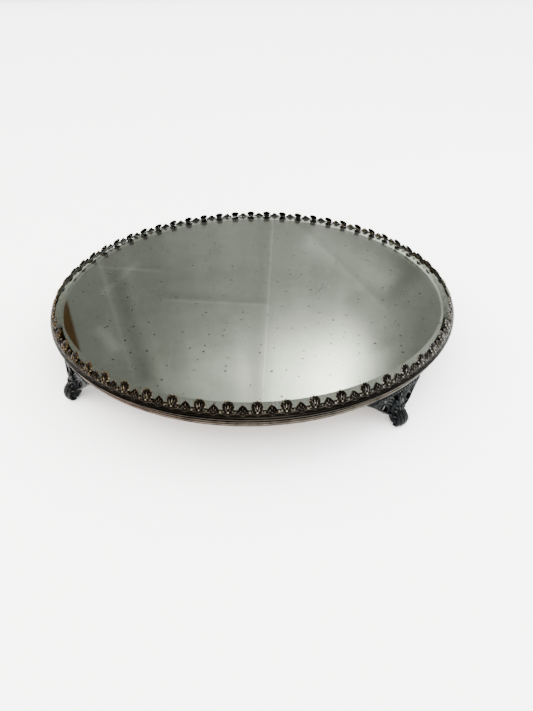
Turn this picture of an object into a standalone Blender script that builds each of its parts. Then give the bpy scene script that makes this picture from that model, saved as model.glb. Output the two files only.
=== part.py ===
"""Round mirrored plateau on four scroll feet.

A bevelled mirror lies in a coved rim with a pierced gallery of palmettes and leaves. A moulded ring
under the rim carries a turned wooden board, and four cast feet are screwed up through the ring into
the board. The origin is the centre of the circle that the feet stand on. +Z is up and the front is -Y.
Lengths are in metres, angles in radians.
"""
from math import cos, pi, radians, sin

import bmesh
import bpy
from mathutils import Matrix, Vector

# ---------------------------------------------------------------- driving dimensions

BAND_RADIUS = 0.178          # lower edge of the moulded ring
FOOT_HEIGHT = 0.028          # underside of the moulded ring above the table
GLASS_THICKNESS = 0.0056
BEVEL_WIDTH = 0.0064
BEVEL_DROP = 0.0017
SILVERING_THICKNESS = 0.0004
CARD_THICKNESS = 0.001
BOARD_EDGE_THICKNESS = 0.0048
MOULDING_FLANGE = 0.0013     # thickness of the ring's inward flange
FLANGE_WIDTH = 0.021         # how far that flange reaches in from the ring's lower edge
MOULDING_WALL = 0.0014
RIM_FLANGE = 0.0014          # thickness of the rim's inward flange, which carries the glass
RIM_FLANGE_WIDTH = 0.0122
RIM_WALL = 0.001
RIM_BEAD_OUT = 0.0045        # how far the rim's bead stands out past the ring's lower edge
RIM_NECK_OUT = 0.0016        # the same for the neck of the cove under it
RIM_SHOULDER_BELOW = 0.0042  # the flat that the gallery stands on, under the edge of the glass's bevel
RIM_LIP_BELOW = 0.0019       # the lip round the glass stops this far below its bevel
GALLERY_REPEATS = 58         # palmettes, with a leaf between each two
GALLERY_HEIGHT = 0.0121      # up the slope, to the palmette tips
GALLERY_THICKNESS = 0.0011
GALLERY_LEAN = radians(36.3)
LEAF_HEIGHT = 0.0091
FOOT_SPAN = 0.060            # between the tips of a foot's wings
FOOT_PLATE = 0.003
FOOT_SWEEP = 0.0045          # how far a foot's plate sweeps out on its way down
SCROLL_RADIUS = 0.0055
SCROLL_LENGTH = 0.013
SCROLL_OUT = 0.006           # scroll's centre past the ring's lower edge
SCROLL_FLAT = 0.0002         # worn off the underside of the scroll
NECK_WIDTH = 0.009           # the column that comes down the middle of a foot onto its scroll
NECK_PROUD = 0.0035          # how far the column stands out of the plate where it is thickest
LUG_WIDTH = 0.022
LUG_THICKNESS = 0.003
FOOT_SCREW_IN = 0.0155       # foot screws in from the ring's lower edge
FOOT_SCREW_SPACING = 0.013
FOOT_SHANK_RADIUS = 0.0015
FOOT_HEAD_RADIUS = 0.003
RIM_SCREW_COUNT = 8
RIM_SCREW_IN = 0.0066        # rim screws in from the ring's lower edge
RIM_SHANK_RADIUS = 0.0012
RIM_HEAD_RADIUS = 0.0024
FOOT_SCREW_STOP = 0.0006     # foot screws stop this far under the board's step
HEAD_HEIGHT = 0.0015

GAP = 0.0003                 # between pieces that touch
FIT = 0.0004                 # between the glass's edge and the rim
SCREW_CLEARANCE = 0.0003
MERGE = 0.00001

RING_STEPS = 2 * GALLERY_REPEATS
PLATE_STEPS = GALLERY_REPEATS
SCREW_SIDES = 8
DROP_WIDTH = 0.005           # pierced drops in a foot's wings
DROP_HEIGHT = 0.0066
DROP_SIDE = 0.0128           # a drop's middle to each side of the foot's middle
DROP_EDGE = 0.0012           # metal left between a drop and the wing's lower edge
FOOT_ANGLES = {"front_left": 225, "front_right": 315, "back_right": 45, "back_left": 135}

# ---------------------------------------------------------------- heights, from the table up

flange_top = FOOT_HEIGHT + MOULDING_FLANGE
board_bottom = flange_top + GAP
moulding_top = board_bottom + BOARD_EDGE_THICKNESS
rim_bottom = moulding_top + GAP
rim_floor = rim_bottom + RIM_FLANGE
card_bottom = rim_floor + GAP
silvering_bottom = card_bottom + CARD_THICKNESS + GAP
glass_bottom = silvering_bottom + SILVERING_THICKNESS + GAP
glass_top = glass_bottom + GLASS_THICKNESS
bevel_edge = glass_top - BEVEL_DROP
rim_shoulder = bevel_edge - RIM_SHOULDER_BELOW

# ---------------------------------------------------------------- radii, from the outside in

bead_radius = BAND_RADIUS + RIM_BEAD_OUT
rim_neck_radius = BAND_RADIUS + RIM_NECK_OUT
rim_inner_radius = rim_neck_radius - RIM_WALL - FIT
glass_radius = rim_inner_radius - FIT
moulding_inner_radius = BAND_RADIUS - MOULDING_WALL
board_radius = moulding_inner_radius - GAP
rim_flange_radius = BAND_RADIUS - RIM_FLANGE_WIDTH
board_step_radius = rim_flange_radius - GAP
flange_radius = BAND_RADIUS - FLANGE_WIDTH


# ---------------------------------------------------------------- helpers

def clear_scene():
    for obj in list(bpy.data.objects):
        bpy.data.objects.remove(obj, do_unlink=True)


def new_collection(name):
    collection = bpy.data.collections.new(name)
    bpy.context.scene.collection.children.link(collection)
    return collection


def make_material(name, color, metallic, roughness):
    material = bpy.data.materials.new(name)
    material.use_nodes = True
    shader = material.node_tree.nodes["Principled BSDF"]
    shader.inputs["Base Color"].default_value = (*color, 1.0)
    shader.inputs["Metallic"].default_value = metallic
    shader.inputs["Roughness"].default_value = roughness
    return material


def add_object(name, mesh, collection, material=None):
    obj = bpy.data.objects.new(name, mesh)
    collection.objects.link(obj)
    if material is not None:
        mesh.materials.clear()
        mesh.materials.append(material)
    return obj


def turned(name, profile, steps, collection, material):
    """A turned piece. The profile runs down its outer side; on the axis it starts and ends open."""
    on_axis = profile[0][0] == 0.0
    mesh = bpy.data.meshes.new(name)
    points = [(r, 0.0, z) for r, z in profile]
    count = len(points)
    edges = [(i, i + 1) for i in range(count - 1)]
    if not on_axis:
        edges.append((count - 1, 0))
    mesh.from_pydata(points, edges, [])
    obj = add_object(name, mesh, collection, material)
    screw = obj.modifiers.new("turn", "SCREW")
    screw.axis = "Z"
    screw.steps = steps
    screw.render_steps = steps
    screw.use_merge_vertices = True
    screw.merge_threshold = MERGE
    return obj


def mesh_of(obj):
    """A new mesh of the object as its modifiers leave it, with its doubles merged."""
    bpy.context.view_layer.update()
    evaluated = obj.evaluated_get(bpy.context.evaluated_depsgraph_get())
    mesh = bpy.data.meshes.new_from_object(evaluated)
    bm = bmesh.new()
    bm.from_mesh(mesh)
    bmesh.ops.remove_doubles(bm, verts=bm.verts, dist=MERGE)
    bm.to_mesh(mesh)
    bm.free()
    return mesh


def outline_solid(name, points, thickness, collection):
    """A flat outline in X and Y as a closed solid, its thickness centred on Z = 0."""
    curve = bpy.data.curves.new(name, "CURVE")
    curve.dimensions = "2D"
    curve.fill_mode = "BOTH"
    curve.extrude = thickness / 2
    spline = curve.splines.new("POLY")
    spline.points.add(len(points) - 1)
    for point, (x, y) in zip(spline.points, points):
        point.co = (x, y, 0.0, 1.0)
    spline.use_cyclic_u = True
    flat = bpy.data.objects.new(name + "_outline", curve)
    collection.objects.link(flat)
    mesh = mesh_of(flat)
    bpy.data.objects.remove(flat, do_unlink=True)
    return add_object(name, mesh, collection)


def cylinder(name, radius, low, high, sides, collection):
    """A cylinder along Z between two heights."""
    mesh = bpy.data.meshes.new(name)
    bm = bmesh.new()
    bmesh.ops.create_cone(bm, cap_ends=True, segments=sides, radius1=radius, radius2=radius,
                          depth=high - low, matrix=Matrix.Translation((0, 0, (low + high) / 2)))
    bm.to_mesh(mesh)
    bm.free()
    return add_object(name, mesh, collection)


def box(name, low, high, collection):
    mesh = bpy.data.meshes.new(name)
    bm = bmesh.new()
    size = Vector(high) - Vector(low)
    middle = (Vector(high) + Vector(low)) / 2
    bmesh.ops.create_cube(bm, size=1.0, matrix=Matrix.Translation(middle) @ Matrix.Diagonal((*size, 1.0)))
    bm.to_mesh(mesh)
    bm.free()
    return add_object(name, mesh, collection)


def as_tool(obj):
    obj.hide_render = True
    obj.display_type = "WIRE"
    return obj


def boolean(obj, tool, operation):
    modifier = obj.modifiers.new(tool.name, "BOOLEAN")
    modifier.operation = operation
    modifier.solver = "EXACT"
    modifier.object = as_tool(tool)


def place(obj, radius, sideways, angle):
    """Stand an object at a radius from the centre and a distance sideways, seen along an angle."""
    turn = Matrix.Rotation(angle, 4, "Z")
    obj.matrix_world = turn @ Matrix.Translation((radius, sideways, 0.0)) @ obj.matrix_world


# ---------------------------------------------------------------- screw places

foot_screw_radius = BAND_RADIUS - FOOT_SCREW_IN
rim_screw_radius = BAND_RADIUS - RIM_SCREW_IN


def foot_screw_places():
    """Name, radius, sideways and angle of each foot screw."""
    for corner, degrees in FOOT_ANGLES.items():
        for side, sign in (("a", -1), ("b", 1)):
            yield f"{corner}_{side}", foot_screw_radius, sign * FOOT_SCREW_SPACING / 2, radians(degrees)


def rim_screw_places():
    step = 2 * pi / RIM_SCREW_COUNT
    for index in range(RIM_SCREW_COUNT):
        yield str(index + 1), rim_screw_radius, 0.0, (index + 0.5) * step


def cut_screw_holes(obj, places, shank_radius, low, high, cutters):
    for name, radius, sideways, angle in places:
        hole = cylinder(f"{obj.name}_hole_{name}", shank_radius + SCREW_CLEARANCE, low, high,
                        SCREW_SIDES, cutters)
        place(hole, radius, sideways, angle)
        boolean(obj, hole, "DIFFERENCE")


# ---------------------------------------------------------------- mirror, card and board

def make_mirror(parts, materials):
    profile = [
        (0.0, glass_top),
        (glass_radius - BEVEL_WIDTH, glass_top),
        (glass_radius, bevel_edge),
        (glass_radius, glass_bottom),
        (0.0, glass_bottom),
    ]
    turned("mirror_glass", profile, RING_STEPS, parts, materials["glass"])
    disc("mirror_silvering", silvering_bottom, SILVERING_THICKNESS, parts, materials["silvering"])
    disc("packing_card", card_bottom, CARD_THICKNESS, parts, materials["card"])


def disc(name, bottom, thickness, parts, material):
    """A plain disc as wide as the glass."""
    profile = [
        (0.0, bottom + thickness),
        (glass_radius, bottom + thickness),
        (glass_radius, bottom),
        (0.0, bottom),
    ]
    turned(name, profile, PLATE_STEPS, parts, material)


screw_end = moulding_top - FOOT_SCREW_STOP


def make_board(parts, cutters, material):
    """The board's raised middle fills the hole in the rim's flange, up to the card."""
    profile = [
        (0.0, rim_floor),
        (board_step_radius, rim_floor),
        (board_step_radius, moulding_top),
        (board_radius, moulding_top),
        (board_radius, board_bottom),
        (0.0, board_bottom),
    ]
    board = turned("base_board", profile, PLATE_STEPS, parts, material)
    below = board_bottom - GAP
    cut_screw_holes(board, foot_screw_places(), FOOT_SHANK_RADIUS, below, screw_end + GAP, cutters)
    cut_screw_holes(board, rim_screw_places(), RIM_SHANK_RADIUS, below, rim_bottom, cutters)


# ---------------------------------------------------------------- rings

def make_rim(parts, cutters, material):
    """The coved rim: an outer bead over a cove, an inward flange, and a lip round the glass's edge."""
    lip_top = bevel_edge - RIM_LIP_BELOW
    bead_middle = rim_shoulder - 0.0004
    bead_inner = bead_radius - 0.0011
    lip_outer = rim_inner_radius + RIM_WALL
    profile = [
        (rim_inner_radius, lip_top),
        (lip_outer, lip_top),
        (lip_outer, rim_shoulder),
        (bead_inner, rim_shoulder),
        (bead_radius, bead_middle),
        (bead_radius - 0.0003, bead_middle - 0.0008),
        (rim_neck_radius, rim_bottom + 0.0008),
        (rim_neck_radius + 0.0003, rim_bottom),
        (rim_flange_radius, rim_bottom),
        (rim_flange_radius, rim_floor),
        (rim_inner_radius, rim_floor),
    ]
    rim = turned("rim_band", profile, RING_STEPS, parts, material)
    cut_screw_holes(rim, rim_screw_places(), RIM_SHANK_RADIUS, rim_bottom - GAP, rim_floor + GAP, cutters)


def make_moulding(parts, cutters, material):
    """The moulded ring: a bead, a groove and a torus outside, and a flat flange under the board."""
    height = moulding_top - FOOT_HEIGHT
    profile = [
        (moulding_inner_radius, moulding_top),
        (BAND_RADIUS + 0.0002, moulding_top),
        (BAND_RADIUS + 0.0009, FOOT_HEIGHT + 0.84 * height),
        (BAND_RADIUS - 0.0003, FOOT_HEIGHT + 0.66 * height),
        (BAND_RADIUS + 0.0012, FOOT_HEIGHT + 0.36 * height),
        (BAND_RADIUS, FOOT_HEIGHT),
        (flange_radius, FOOT_HEIGHT),
        (flange_radius, flange_top),
        (moulding_inner_radius, flange_top),
    ]
    moulding = turned("reeded_moulding", profile, RING_STEPS, parts, material)
    low = FOOT_HEIGHT - GAP
    high = flange_top + GAP
    cut_screw_holes(moulding, foot_screw_places(), FOOT_SHANK_RADIUS, low, high, cutters)
    cut_screw_holes(moulding, rim_screw_places(), RIM_SHANK_RADIUS, low, high, cutters)


# ---------------------------------------------------------------- gallery

gallery_base_radius = bead_radius - 0.0002
gallery_base_height = rim_shoulder + GAP + GALLERY_THICKNESS * sin(GALLERY_LEAN)
gallery_pitch = 2 * pi * gallery_base_radius / GALLERY_REPEATS


def gallery_outline():
    """Half a leaf, a palmette and half a leaf: across the pitch and up the slope."""
    half = gallery_pitch / 2
    valley = 0.48 * LEAF_HEIGHT
    side = [
        (0.80 * half, 0.82 * LEAF_HEIGHT),
        (0.63 * half, 0.55 * LEAF_HEIGHT),
        (0.52 * half, valley),
        (0.34 * half, 1.2 * valley),
    ]
    fan_middle = 0.70 * GALLERY_HEIGHT
    fan_radius = GALLERY_HEIGHT - fan_middle
    fan_width = 0.43 * half
    fan = []
    for degrees in (-15, 20, 50, 78):
        angle = radians(degrees)
        fan.append((fan_width * cos(angle), fan_middle + fan_radius * sin(angle)))
    right = side + fan
    top = [(half, LEAF_HEIGHT)] + right + [(-u, v) for u, v in reversed(right)] + [(-half, LEAF_HEIGHT)]
    return top + [(-half, 0.0), (0.0, 0.0), (half, 0.0)]


def lean_to_ring(u, v, w):
    """Wrap a point of the flat strip onto the cone: across, up the slope, and outwards."""
    angle = u / gallery_pitch * 2 * pi / GALLERY_REPEATS
    radius = gallery_base_radius - v * sin(GALLERY_LEAN) + w * cos(GALLERY_LEAN)
    height = gallery_base_height + v * cos(GALLERY_LEAN) + w * sin(GALLERY_LEAN)
    return Vector((radius * cos(angle), radius * sin(angle), height))


def make_gallery(parts, material):
    """One repeat is cut from a flat outline, opened at its two ends, leant and repeated round."""
    strip = outline_solid("gallery_strip", gallery_outline(), GALLERY_THICKNESS, parts)
    strip.data.materials.append(material)
    bm = bmesh.new()
    bm.from_mesh(strip.data)
    half = gallery_pitch / 2
    ends = [face for face in bm.faces if all(abs(abs(v.co.x) - half) < MERGE for v in face.verts)]
    bmesh.ops.delete(bm, geom=ends, context="FACES")
    for vert in bm.verts:
        u, v, w = vert.co
        vert.co = lean_to_ring(u, v, w - GALLERY_THICKNESS / 2)
    bmesh.ops.recalc_face_normals(bm, faces=bm.faces)
    step = 2 * pi / GALLERY_REPEATS
    repeat = bm.verts[:] + bm.edges[:] + bm.faces[:]
    for index in range(1, GALLERY_REPEATS):
        copy = bmesh.ops.duplicate(bm, geom=repeat)
        verts = [item for item in copy["geom"] if isinstance(item, bmesh.types.BMVert)]
        bmesh.ops.rotate(bm, cent=(0, 0, 0), matrix=Matrix.Rotation(index * step, 3, "Z"), verts=verts)
    bmesh.ops.remove_doubles(bm, verts=bm.verts, dist=MERGE)
    bmesh.ops.recalc_face_normals(bm, faces=bm.faces)
    bm.to_mesh(strip.data)
    bm.free()


# ---------------------------------------------------------------- feet

foot_top = FOOT_HEIGHT - GAP
scroll_radius_out = BAND_RADIUS + SCROLL_OUT
scroll_height = SCROLL_RADIUS - SCROLL_FLAT
plate_bottom = scroll_height + 0.3 * SCROLL_RADIUS
plate_height = foot_top - plate_bottom


RIGHT_WING = [
    (0.50 * FOOT_SPAN, 1.0),
    (0.50 * FOOT_SPAN, 0.955),
    (0.415 * FOOT_SPAN, 0.775),
    (0.315 * FOOT_SPAN, 0.56),
    (0.245 * FOOT_SPAN, 0.40),
    (0.197 * FOOT_SPAN, 0.29),
    (0.155 * FOOT_SPAN, 0.10),
    (0.46 * SCROLL_LENGTH, 0.0),
]


def wing_outline():
    """A foot's plate, seen from outside: sideways, and as a share of its height from the bottom."""
    points = RIGHT_WING + [(-x, share) for x, share in reversed(RIGHT_WING)]
    return [(x, plate_bottom + share * plate_height) for x, share in points]


def wing_edge_height(sideways):
    """Height of a wing's lower edge at a distance to the side."""
    for (outer, high), (inner, low) in zip(RIGHT_WING[1:], RIGHT_WING[2:]):
        if inner <= sideways <= outer:
            share = low + (high - low) * (sideways - inner) / (outer - inner)
            return plate_bottom + share * plate_height
    return foot_top if sideways > RIGHT_WING[0][0] else plate_bottom


def plate_face_radius(height):
    """The plate sweeps outwards as it goes down."""
    down = (foot_top - height) / plate_height
    return BAND_RADIUS + FOOT_SWEEP * max(down, 0.0) ** 2


def bend_plate(plate):
    """Slice the flat plate across and along, then wrap it round the ring and sweep it out."""
    bm = bmesh.new()
    bm.from_mesh(plate.data)
    for share in (-0.66, -0.43, 0.0, 0.43, 0.66):
        everything = bm.verts[:] + bm.edges[:] + bm.faces[:]
        bmesh.ops.bisect_plane(bm, geom=everything, dist=MERGE, plane_co=(share * FOOT_SPAN / 2, 0, 0),
                               plane_no=(1, 0, 0))
    for share in (0.3, 0.6, 0.82):
        everything = bm.verts[:] + bm.edges[:] + bm.faces[:]
        bmesh.ops.bisect_plane(bm, geom=everything, dist=MERGE,
                               plane_co=(0, plate_bottom + share * plate_height, 0), plane_no=(0, 1, 0))
    bmesh.ops.triangulate(bm, faces=bm.faces)
    for vert in bm.verts:
        sideways, height, depth = vert.co
        radius = plate_face_radius(height) + depth - FOOT_PLATE / 2
        angle = sideways / BAND_RADIUS
        vert.co = (radius * cos(angle), radius * sin(angle), height)
    bmesh.ops.recalc_face_normals(bm, faces=bm.faces)
    bm.to_mesh(plate.data)
    bm.free()


def make_scroll(cutters):
    """The rolled end that the foot stands on, its axis sideways, its two rims rounded."""
    scroll = cylinder("foot_scroll", SCROLL_RADIUS, -SCROLL_LENGTH / 2, SCROLL_LENGTH / 2, 16, cutters)
    bevel = scroll.modifiers.new("round", "BEVEL")
    bevel.width = 0.0012
    bevel.segments = 1
    bevel.limit_method = "ANGLE"
    bevel.angle_limit = radians(60)
    turn = Matrix.Rotation(pi / 2, 4, "X")
    scroll.matrix_world = Matrix.Translation((scroll_radius_out, 0, scroll_height)) @ turn
    return scroll


def make_neck(cutters):
    """The column that comes down the middle of the plate onto the scroll."""
    profile = [(0.05, 0.86), (0.24, 1.0), (0.45, 0.52), (0.70, 0.06)]
    outer = []
    inner = []
    for share, proud in profile:
        height = plate_bottom + share * plate_height
        face = plate_face_radius(height)
        outer.append((face + proud * NECK_PROUD, height))
        inner.append((face - FOOT_PLATE / 2, height))
    neck = outline_solid("foot_neck", outer + inner[::-1], NECK_WIDTH, cutters)
    neck.matrix_world = Matrix.Rotation(pi / 2, 4, "X")
    return neck


def make_teardrop(name, side, cutters):
    """A pierced drop in a wing, beside the neck."""
    points = [(0.0, 0.62 * DROP_HEIGHT)]
    for degrees in (150, 190, 230, 270, 310, 350, 390):
        angle = radians(degrees)
        points.append((DROP_WIDTH / 2 * cos(angle), DROP_WIDTH / 2 * sin(angle)))
    drop = outline_solid(name, points, 4 * FOOT_PLATE, cutters)
    height = wing_edge_height(DROP_SIDE) + DROP_EDGE + DROP_WIDTH / 2
    middle = Vector((plate_face_radius(height), 0.0, height))
    upright = Matrix.Rotation(pi / 2, 4, "Z") @ Matrix.Rotation(pi / 2, 4, "X")
    across = Matrix.Rotation(side * DROP_SIDE / BAND_RADIUS, 4, "Z")
    drop.matrix_world = across @ Matrix.Translation(middle) @ upright
    return drop


def make_feet(parts, cutters, material):
    """One foot is modelled on +X and its mesh is shared by four turned objects."""
    plate = outline_solid("foot_body", wing_outline(), FOOT_PLATE, cutters)
    bend_plate(plate)
    lug_bottom = foot_top - LUG_THICKNESS
    lug = box("foot_lug", (flange_radius + GAP, -LUG_WIDTH / 2, lug_bottom),
              (BAND_RADIUS - FOOT_PLATE / 2, LUG_WIDTH / 2, foot_top), cutters)
    boolean(plate, lug, "UNION")
    boolean(plate, make_neck(cutters), "UNION")
    boolean(plate, make_scroll(cutters), "UNION")
    for side, name in ((-1, "foot_drop_a"), (1, "foot_drop_b")):
        boolean(plate, make_teardrop(name, side, cutters), "DIFFERENCE")
    reach = scroll_radius_out + 2 * SCROLL_RADIUS
    floor = box("foot_floor", (0.5 * reach, -SCROLL_LENGTH, -SCROLL_RADIUS), (reach, SCROLL_LENGTH, 0.0),
                cutters)
    boolean(plate, floor, "DIFFERENCE")
    for index, side in enumerate((-1, 1)):
        hole = cylinder(f"foot_hole_{index}", FOOT_SHANK_RADIUS + SCREW_CLEARANCE, lug_bottom - GAP,
                        foot_top + GAP, SCREW_SIDES, cutters)
        place(hole, foot_screw_radius, side * FOOT_SCREW_SPACING / 2, 0.0)
        boolean(plate, hole, "DIFFERENCE")
    mesh = mesh_of(plate)
    as_tool(plate)
    for corner, degrees in FOOT_ANGLES.items():
        foot = add_object(f"foot_{corner}", mesh, parts, material)
        foot.rotation_euler = (0.0, 0.0, radians(degrees))


# ---------------------------------------------------------------- screws

def screw_mesh(name, head_radius, shank_radius, head_top, end, parts, material):
    """A round-headed screw, point up, its head under the piece that it holds."""
    profile = [
        (0.0, end),
        (shank_radius, end),
        (shank_radius, head_top),
        (head_radius, head_top),
        (0.72 * head_radius, head_top - HEAD_HEIGHT),
        (0.0, head_top - HEAD_HEIGHT),
    ]
    pattern = turned(name, profile, SCREW_SIDES, parts, material)
    mesh = mesh_of(pattern)
    bpy.data.objects.remove(pattern, do_unlink=True)
    return mesh


def make_screws(parts, cutters, material):
    foot_head_top = foot_top - LUG_THICKNESS - GAP
    rim_head_top = foot_top
    sets = [
        ("foot_screw", foot_screw_places(), FOOT_HEAD_RADIUS, FOOT_SHANK_RADIUS, foot_head_top, screw_end),
        ("rim_screw", rim_screw_places(), RIM_HEAD_RADIUS, RIM_SHANK_RADIUS, rim_head_top,
         rim_floor - GAP),
    ]
    for kind, places, head_radius, shank_radius, head_top, end in sets:
        mesh = screw_mesh(kind, head_radius, shank_radius, head_top, end, cutters, material)
        for name, radius, sideways, angle in places:
            screw = add_object(f"{kind}_{name}", mesh, parts, material)
            turn = Matrix.Rotation(angle, 4, "Z")
            screw.location = turn @ Vector((radius, sideways, 0.0))
            screw.rotation_euler = (0.0, 0.0, angle)


# ---------------------------------------------------------------- assembly

def main():
    clear_scene()
    parts = new_collection("mirror_plateau")
    cutters = new_collection("cutters")
    materials = {
        "glass": make_material("bevelled plate glass", (0.55, 0.60, 0.56), 0.0, 0.03),
        "silvering": make_material("aged silvering", (0.62, 0.65, 0.62), 1.0, 0.08),
        "card": make_material("grey card", (0.30, 0.28, 0.25), 0.0, 0.9),
        "board": make_material("stained pine", (0.16, 0.08, 0.04), 0.0, 0.7),
        "gallery": make_material("oxidised silver plate", (0.05, 0.045, 0.035), 1.0, 0.38),
        "rim": make_material("dark plated rim", (0.03, 0.028, 0.025), 1.0, 0.34),
        "moulding": make_material("worn plated moulding", (0.28, 0.21, 0.16), 1.0, 0.42),
        "foot": make_material("blackened cast feet", (0.012, 0.014, 0.016), 1.0, 0.40),
        "screw": make_material("steel screws", (0.35, 0.33, 0.30), 1.0, 0.45),
    }
    make_mirror(parts, materials)
    make_board(parts, cutters, materials["board"])
    make_rim(parts, cutters, materials["rim"])
    make_moulding(parts, cutters, materials["moulding"])
    make_gallery(parts, materials["gallery"])
    make_feet(parts, cutters, materials["foot"])
    make_screws(parts, cutters, materials["screw"])
    for obj in parts.objects:
        obj.data.shade_smooth()
        obj.data.set_sharp_from_angle(angle=radians(35))


main()
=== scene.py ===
# %% [markdown]
# # A round mirrored plateau
#
# A plateau is a low tray that lifts whatever stands on it towards the light. This one has a bevelled
# mirror, a pierced gallery of palmettes and leaves, a moulded ring and four cast feet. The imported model
# gives every size. This notebook makes the surfaces that a hand and an eye would judge.

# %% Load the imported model
from math import cos, pi, radians, sin

import bpy
from mathutils import Matrix, Vector


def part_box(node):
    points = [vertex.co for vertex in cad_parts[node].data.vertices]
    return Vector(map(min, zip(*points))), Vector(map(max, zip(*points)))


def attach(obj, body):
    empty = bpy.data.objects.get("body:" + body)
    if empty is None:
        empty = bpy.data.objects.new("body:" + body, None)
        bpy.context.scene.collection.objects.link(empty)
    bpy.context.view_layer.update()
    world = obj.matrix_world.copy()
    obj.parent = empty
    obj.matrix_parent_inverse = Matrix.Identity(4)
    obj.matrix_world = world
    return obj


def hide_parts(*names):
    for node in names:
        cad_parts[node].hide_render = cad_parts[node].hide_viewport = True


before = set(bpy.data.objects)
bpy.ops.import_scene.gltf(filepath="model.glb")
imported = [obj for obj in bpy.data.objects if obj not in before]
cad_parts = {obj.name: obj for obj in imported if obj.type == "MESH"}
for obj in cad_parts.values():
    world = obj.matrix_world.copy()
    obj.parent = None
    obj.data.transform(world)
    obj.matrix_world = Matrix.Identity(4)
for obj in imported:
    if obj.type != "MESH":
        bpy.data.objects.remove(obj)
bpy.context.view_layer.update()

MM = 0.001

# %% [markdown]
# Sizes are read from the frame, never typed twice. A turned piece needs only its radii and heights, so
# each node's box is enough to know where its walls are.

# %% Sizes read from the frame
def top_of(node):
    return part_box(node)[1].z


def bottom_of(node):
    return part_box(node)[0].z


def radius_of(node):
    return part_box(node)[1].x


glass_radius = radius_of("mirror_glass")
glass_top = top_of("mirror_glass")
glass_bottom = bottom_of("mirror_glass")
bead_radius = radius_of("rim_band")
rim_bottom = bottom_of("rim_band")
moulding_radius = radius_of("reeded_moulding")
moulding_top = top_of("reeded_moulding")
foot_height = bottom_of("reeded_moulding")
band_radius = moulding_radius - 1.2 * MM
print("glass radius", round(glass_radius / MM, 2), "mm, top", round(glass_top / MM, 2), "mm")

# %% [markdown]
# The camera stands over the front of the tray, a little to the right, and looks down at it. A 26 mm lens
# from less than half a metre gives the strong perspective of a hand-held view.

# %% Camera
CAMERA_BEARING = radians(279.03)
CAMERA_DISTANCE = 2.433 * band_radius
CAMERA_HEIGHT = foot_height + 1.362 * band_radius
CAMERA_HEADING = radians(7.43)
CAMERA_PITCH = radians(35.7)
CAMERA_ROLL = radians(-0.4)

camera_data = bpy.data.cameras.new("camera")
camera_data.lens = 26.0
camera_data.sensor_width = 36.0
camera = bpy.data.objects.new("camera", camera_data)
bpy.context.scene.collection.objects.link(camera)
turn = (Matrix.Rotation(CAMERA_HEADING, 4, "Z") @ Matrix.Rotation(pi / 2 - CAMERA_PITCH, 4, "X")
        @ Matrix.Rotation(CAMERA_ROLL, 4, "Z"))
camera.rotation_euler = turn.to_euler()
camera.location = (CAMERA_DISTANCE * cos(CAMERA_BEARING), CAMERA_DISTANCE * sin(CAMERA_BEARING),
                   CAMERA_HEIGHT)
bpy.context.scene.camera = camera

# %% [markdown]
# ## Helpers
# An operator acts on everything that is selected, so each step begins with nothing selected and then
# picks what it needs.

# %% Selection helpers
def deselect_all():
    if bpy.context.object and bpy.context.object.mode != "OBJECT":
        bpy.ops.object.mode_set(mode="OBJECT")
    bpy.ops.object.select_all(action="DESELECT")


def select_only(obj):
    deselect_all()
    obj.select_set(True)
    bpy.context.view_layer.objects.active = obj


def edit(obj, kind="VERT"):
    """Open the object in edit mode with nothing selected."""
    select_only(obj)
    bpy.ops.object.mode_set(mode="EDIT")
    bpy.ops.mesh.select_mode(type=kind)
    bpy.ops.mesh.select_all(action="DESELECT")


def pick(obj, kind, test):
    """Select the vertices, edges or faces that pass a test, and leave edit mode open."""
    edit(obj, kind)
    bpy.ops.object.mode_set(mode="OBJECT")
    mesh = obj.data
    items = {"VERT": mesh.vertices, "EDGE": mesh.edges, "FACE": mesh.polygons}[kind]
    for item in items:
        item.select = bool(test(item))
    bpy.ops.object.mode_set(mode="EDIT")


def close_edit():
    bpy.ops.object.mode_set(mode="OBJECT")


def apply_modifier(obj, modifier):
    select_only(obj)
    bpy.ops.object.modifier_apply(modifier=modifier.name)


def settle(obj):
    """Put the object's place into its mesh, so that the object itself sits at the origin."""
    select_only(obj)
    bpy.ops.object.transform_apply(location=True, rotation=True, scale=True)


def smooth(obj, degrees=40):
    select_only(obj)
    bpy.ops.object.shade_smooth_by_angle(angle=radians(degrees))


def join(name, objects):
    deselect_all()
    for obj in objects:
        obj.select_set(True)
    bpy.context.view_layer.objects.active = objects[0]
    if len(objects) > 1:
        bpy.ops.object.join()
    objects[0].name = name
    objects[0].data.name = name
    return objects[0]


def hand_in(piece, material, slot, *nodes):
    """Give the piece its material, fix it to the tray and hide the nodes it stands for."""
    piece.data.materials.clear()
    piece.data.materials.append(material)
    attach(piece, "root")
    if nodes:
        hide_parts(*nodes)
    print(piece.name, len(piece.data.polygons), "faces")


# %% [markdown]
# Every ring and disc here is turned. On a lathe the tool follows a profile while the work goes round.
# Here one vertex is extruded along the profile, and the line is spun about the upright axis.

# %% Turning helper
FULL_TURN = 2 * pi


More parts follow.
